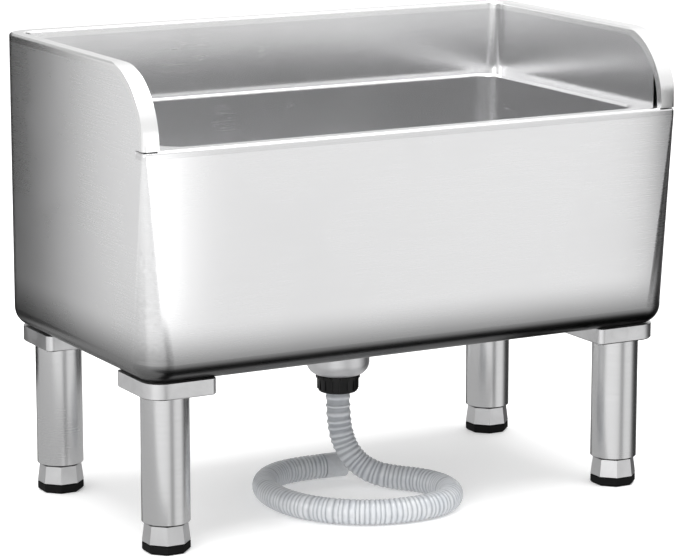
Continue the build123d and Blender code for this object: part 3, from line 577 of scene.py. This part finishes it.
def make_hose(sizes):
    """The corrugated drain hose, on its route, in place of the plain tube."""
    line = hose_line()
    values = {
        "Diameter": sizes.diameter, "Groove": sizes.groove, "Pitch": sizes.pitch,
        "Pulled Pitch": sizes.pulled_pitch, "Pulled Length": sizes.pulled_length,
        "Unevenness": sizes.unevenness, "Rings Per Rib": RINGS_PER_RIB, "Sides": HOSE_SIDES,
        "Finish": hose_finish(sizes),
    }
    hose = grow("drain_hose_ribbed", line, hose_tree(), values)
    wall = hose.modifiers.new("wall", "SOLIDIFY")
    wall.thickness = sizes.wall
    wall.offset = -1.0
    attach(hose, "tub")
    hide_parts("drain_hose")


# ---- operators ------------------------------------------------------------------------------------
class BATHTUB_OT_camera(bpy.types.Operator):
    """Set up the camera at the front left, above the rim"""

    bl_idname = "bathtub.camera"
    bl_label = "Camera"

    def execute(self, context):
        studio = context.scene.bathtub_studio
        aim = Vector((0.0, 0.0, studio.aim_height))
        back = Vector((math.sin(studio.azimuth) * math.cos(studio.elevation),
                       -math.cos(studio.azimuth) * math.cos(studio.elevation),
                       math.sin(studio.elevation)))
        data = bpy.data.cameras.new("camera")
        data.lens = studio.lens
        data.sensor_width = 36.0
        data.sensor_fit = "HORIZONTAL"
        data.shift_x, data.shift_y = CAMERA_SHIFT
        camera = bpy.data.objects.new("camera", data)
        camera.location = aim + back * studio.distance
        camera.rotation_euler = back.to_track_quat("Z", "Y").to_euler()
        context.scene.collection.objects.link(camera)
        context.scene.camera = camera
        return {"FINISHED"}


class BATHTUB_OT_hose(bpy.types.Operator):
    """Build the corrugated drain hose along its route and finish its cuff"""

    bl_idname = "bathtub.hose"
    bl_label = "Drain Hose"

    def execute(self, context):
        make_hose(context.scene.bathtub_hose)
        cuff = moulded_finish(
            "hose_cuff_plastic", context.scene.bathtub_hose.colour, roughness=0.32, coat=0.3)
        paint_nodes(["hose_cuff"], cuff)
        return {"FINISHED"}


class BATHTUB_OT_tub(bpy.types.Operator):
    """Finish the outer skin, the guard, the basin and what holds them"""

    bl_idname = "bathtub.tub"
    bl_label = "Tub Sheets"

    def execute(self, context):
        steel = context.scene.bathtub_steel
        grain = (steel.grain_width, steel.grain_length)
        # The outer sheet gets painted shade towards its bottom fold.
        shade = (steel.painted_fold_shade, steel.fold_reach)
        outside = sheet_finish(
            "satin_outside", steel.outside, roughness=0.27, grain=grain, marks=0.015, bump=0.006, shade=shade)
        paint_nodes(["outer_shell"], outside)
        inside = sheet_finish(
            "brushed_inside", steel.inside, roughness=0.24, grain=grain, anisotropy=0.5, marks=0.07,
            bump=0.05)
        paint_nodes(["splash_liner", "basin"], inside)
        edge = sheet_finish("polished_edge", steel.folded, roughness=0.24, grain=grain, marks=0.02, bump=0.02)
        paint_nodes(["guard_cap"], edge)
        cover = sheet_finish("satin_under", steel.inside, roughness=0.34, grain=grain, anisotropy=0.3)
        paint_nodes(["service_cover"], cover)
        zinc = sheet_finish(
            "galvanised_sheet", ZINC_COLOUR, roughness=0.45, grain=ZINC_GRAIN, marks=0.35, bump=0.2)
        paint_nodes(["support_channel_left", "support_channel_right", "corner_plates"], zinc)
        return {"FINISHED"}


class BATHTUB_OT_legs(bpy.types.Operator):
    """Finish the leg blocks, tubes, feet and pads"""

    bl_idname = "bathtub.legs"
    bl_label = "Legs and Feet"

    def execute(self, context):
        steel = context.scene.bathtub_steel
        trim = context.scene.bathtub_trim
        grain = (steel.grain_width, steel.grain_length)
        finishes = {
            "leg_block": moulded_finish(
                "cast_block", steel.cast, roughness=0.34, metallic=1.0, grain=0.0008, marks=0.08),
            "leg_tube": sheet_finish(
                "brushed_tube", steel.tube, roughness=0.24, grain=grain, anisotropy=0.4, marks=0.06,
                bump=0.04),
            "leg_stud": sheet_finish("turned_steel", STUD_COLOUR, roughness=0.22, grain=grain),
            "leg_insert": moulded_finish("insert_plastic", trim.black_plastic, roughness=0.42),
            "foot_body": moulded_finish(
                "faceted_foot", steel.foot, roughness=0.30, metallic=1.0, grain=0.0009, bump=0.15,
                marks=0.06),
            "foot_pad": moulded_finish(
                "pad_rubber", trim.rubber, roughness=0.6, grain=0.0005, bump=0.5, marks=0.3, gloss=0.12),
        }
        for corner in CORNERS:
            for piece, finish in finishes.items():
                paint_nodes([f"{piece}_{corner}"], finish)
        return {"FINISHED"}


class BATHTUB_OT_drain(bpy.types.Operator):
    """Finish the drain, its seals, the nuts and the screws"""

    bl_idname = "bathtub.drain"
    bl_label = "Drain and Fasteners"

    def execute(self, context):
        trim = context.scene.bathtub_trim
        basket = sheet_finish(
            "polished_drain", BASKET_COLOUR, roughness=0.18, grain=DRAIN_GRAIN, marks=0.05, bump=0.06)
        paint_nodes(["strainer_basket"], basket)
        cup = sheet_finish("satin_cup", CUP_COLOUR, roughness=0.42, grain=DRAIN_GRAIN, marks=0.04, bump=0.04)
        paint_nodes(["strainer_body"], cup)
        turned = sheet_finish(
            "bright_screw", SCREW_COLOUR, roughness=0.20, grain=DRAIN_GRAIN, marks=0.06, bump=0.08)
        paint_nodes(["strainer_post", "cover_screws", "leg_screws"], turned)
        seal = moulded_finish("seal_rubber", trim.seal, roughness=0.6, grain=0.0005, bump=0.4, marks=0.25)
        paint_nodes(["flange_gasket", "under_gasket", "spigot_washer", "strainer_seal",
                     "channel_pad_left", "channel_pad_right"], seal)
        paint_nodes(["backnut"], moulded_finish("backnut_plastic", trim.white_plastic, roughness=0.4))
        black = moulded_finish(
            "nut_plastic", trim.black_plastic, roughness=0.38, grain=0.0007, coat=0.05, bump=0.3, marks=0.3,
            gloss=0.3)
        paint_nodes(["coupling_nut", "hose_spigot"], black)
        return {"FINISHED"}


def softbox(name, place, aim, size, power):
    """A soft rectangular light that looks from its place at its aim."""
    data = bpy.data.lights.new(name, "AREA")
    data.shape = "RECTANGLE"
    data.size = size[0]
    data.size_y = size[1]
    data.energy = power
    light = bpy.data.objects.new(name, data)
    light.location = place
    light.rotation_euler = (Vector(place) - Vector(aim)).to_track_quat("Z", "Y").to_euler()
    bpy.context.scene.collection.objects.link(light)


def facing(tree, level_way, heading, inner, outer, gain):
    """1 plus a gain towards one compass heading: full within inner of it and gone past outer."""
    way = Vector((math.sin(heading), -math.cos(heading), 0.0))
    product = add_node(tree, "ShaderNodeVectorMath", {"operation": "DOT_PRODUCT"})
    product.inputs[1].default_value = way
    tree.links.new(level_way, product.inputs[0])
    return soft_step(tree, product.outputs["Value"], math.cos(outer), math.cos(inner), 1.0, 1.0 + gain)


def studio_world():
    """A pale surround, brighter at the left and overhead, dark underfoot, at the right and at the back."""
    world = bpy.data.worlds.new("studio")
    world.use_nodes = True
    tree = world.node_tree
    shell = tree.nodes["Background"]
    place = tree.nodes.new("ShaderNodeTexCoord").outputs["Generated"]
    direction = add_node(tree, "ShaderNodeSeparateXYZ")
    tree.links.new(place, direction.inputs[0])
    flat = add_node(tree, "ShaderNodeVectorMath", {"operation": "MULTIPLY"})
    flat.inputs[1].default_value = (1.0, 1.0, 0.0)
    tree.links.new(place, flat.inputs[0])
    level_way = add_node(tree, "ShaderNodeVectorMath", {"operation": "NORMALIZE"})
    tree.links.new(flat.outputs[0], level_way.inputs[0])
    level = soft_step(tree, direction.outputs["Z"], *UNDERFOOT, 0.0, SURROUND_LIGHT)
    for heading, inner, outer, gain in FLAGS:
        step = facing(tree, level_way.outputs[0], *map(math.radians, (heading, inner, outer)), gain)
        level = math_node(tree, "MULTIPLY", level, step)
    overhead = soft_step(tree, direction.outputs["Z"], *OVERHEAD, 0.0, OVERHEAD_LIGHT)
    level = math_node(tree, "MAXIMUM", level, overhead)
    seen = tree.nodes.new("ShaderNodeLightPath").outputs["Is Camera Ray"]
    tree.links.new(math_node(tree, "MAXIMUM", level, seen), shell.inputs["Strength"])
    shell.inputs["Color"].default_value = (1.0, 1.0, 1.0, 1.0)
    bpy.context.scene.world = world


def set_glow(material, strength):
    """Makes a finish give white light of its own."""
    shader = material.node_tree.nodes["Principled BSDF"]
    shader.inputs["Emission Color"].default_value = (1.0, 1.0, 1.0, 1.0)
    shader.inputs["Emission Strength"].default_value = strength


def reflected_card(name, low, high, glow):
    """An upright or flat card that only shows in reflections: black, or paler the more it glows."""
    upright = high[2] > low[2]
    third = (high[0], low[1], high[2]) if upright else (high[0], high[1], low[2])
    second, fourth = (high[0], low[1], low[2]), (low[0], high[1], high[2])
    mesh = bpy.data.meshes.new(name)
    mesh.from_pydata([low, second, third, fourth], [], [(0, 1, 2, 3)])
    card = bpy.data.objects.new(name, mesh)
    bpy.context.scene.collection.objects.link(card)
    for ray in ("camera", "diffuse", "shadow", "transmission", "volume_scatter"):
        setattr(card, f"visible_{ray}", False)
    finish = moulded_finish(name, CARD_COLOUR, roughness=0.9, grain=0.01, bump=0.05, marks=0.1, gloss=0.0)
    set_glow(finish, glow)
    paint(card, finish)


class BATHTUB_OT_stage(bpy.types.Operator):
    """Lay the floor and set the studio light"""

    bl_idname = "bathtub.stage"
    bl_label = "Studio"

    def execute(self, context):
        studio = context.scene.bathtub_studio
        mesh = bpy.data.meshes.new("studio_floor")
        corners = [(x * FLOOR_REACH, y * FLOOR_REACH, 0.0) for x, y in ((-1, -1), (1, -1), (1, 1), (-1, 1))]
        mesh.from_pydata(corners, [], [(0, 1, 2, 3)])
        floor = bpy.data.objects.new("studio_floor", mesh)
        context.scene.collection.objects.link(floor)
        floor.visible_glossy = False
        paper = moulded_finish("floor_paper", studio.floor, roughness=0.8, grain=0.01, bump=0.05, marks=0.01)
        set_glow(paper, studio.floor_glow)
        paint(floor, paper)
        studio_world()
        for name, low, high, glow in REFLECTED_CARDS:
            reflected_card(name, low, high, glow)
        for light in SOFTBOXES:
            softbox(*light)
        context.scene.view_settings.view_transform = "Standard"
        return {"FINISHED"}


class BATHTUB_PT_panel(bpy.types.Panel):
    """Lists the pieces that can be built"""

    bl_idname = "BATHTUB_PT_panel"
    bl_label = "Pet Bathtub"
    bl_space_type = "VIEW_3D"
    bl_region_type = "UI"
    bl_category = "Pet Bathtub"

    def draw(self, context):
        for operator in OPERATORS:
            self.layout.operator(operator.bl_idname)
        for name, group in SETTINGS.items():
            box = self.layout.box()
            for prop in group.__annotations__:
                box.prop(getattr(context.scene, name), prop)


OPERATORS = (BATHTUB_OT_camera, BATHTUB_OT_hose, BATHTUB_OT_tub, BATHTUB_OT_legs, BATHTUB_OT_drain,
             BATHTUB_OT_stage)
SETTINGS = {
    "bathtub_steel": SteelFinish, "bathtub_hose": HoseSizes, "bathtub_trim": TrimFinish,
    "bathtub_studio": StudioSetup,
}


def register():
    for cls in (*SETTINGS.values(), *OPERATORS, BATHTUB_PT_panel):
        bpy.utils.register_class(cls)
    for name, group in SETTINGS.items():
        setattr(bpy.types.Scene, name, bpy.props.PointerProperty(type=group))


def unregister():
    for name in SETTINGS:
        delattr(bpy.types.Scene, name)
    for cls in (BATHTUB_PT_panel, *reversed(OPERATORS), *reversed(SETTINGS.values())):
        bpy.utils.unregister_class(cls)


def main():
    register()
    for effect in (brushed_grain, handling_marks, moulded_grain):
        effect()
    bpy.ops.bathtub.camera()
    bpy.ops.bathtub.hose()
    bpy.ops.bathtub.tub()
    bpy.ops.bathtub.legs()
    bpy.ops.bathtub.drain()
    bpy.ops.bathtub.stage()


if __name__ == "__main__":
    main()
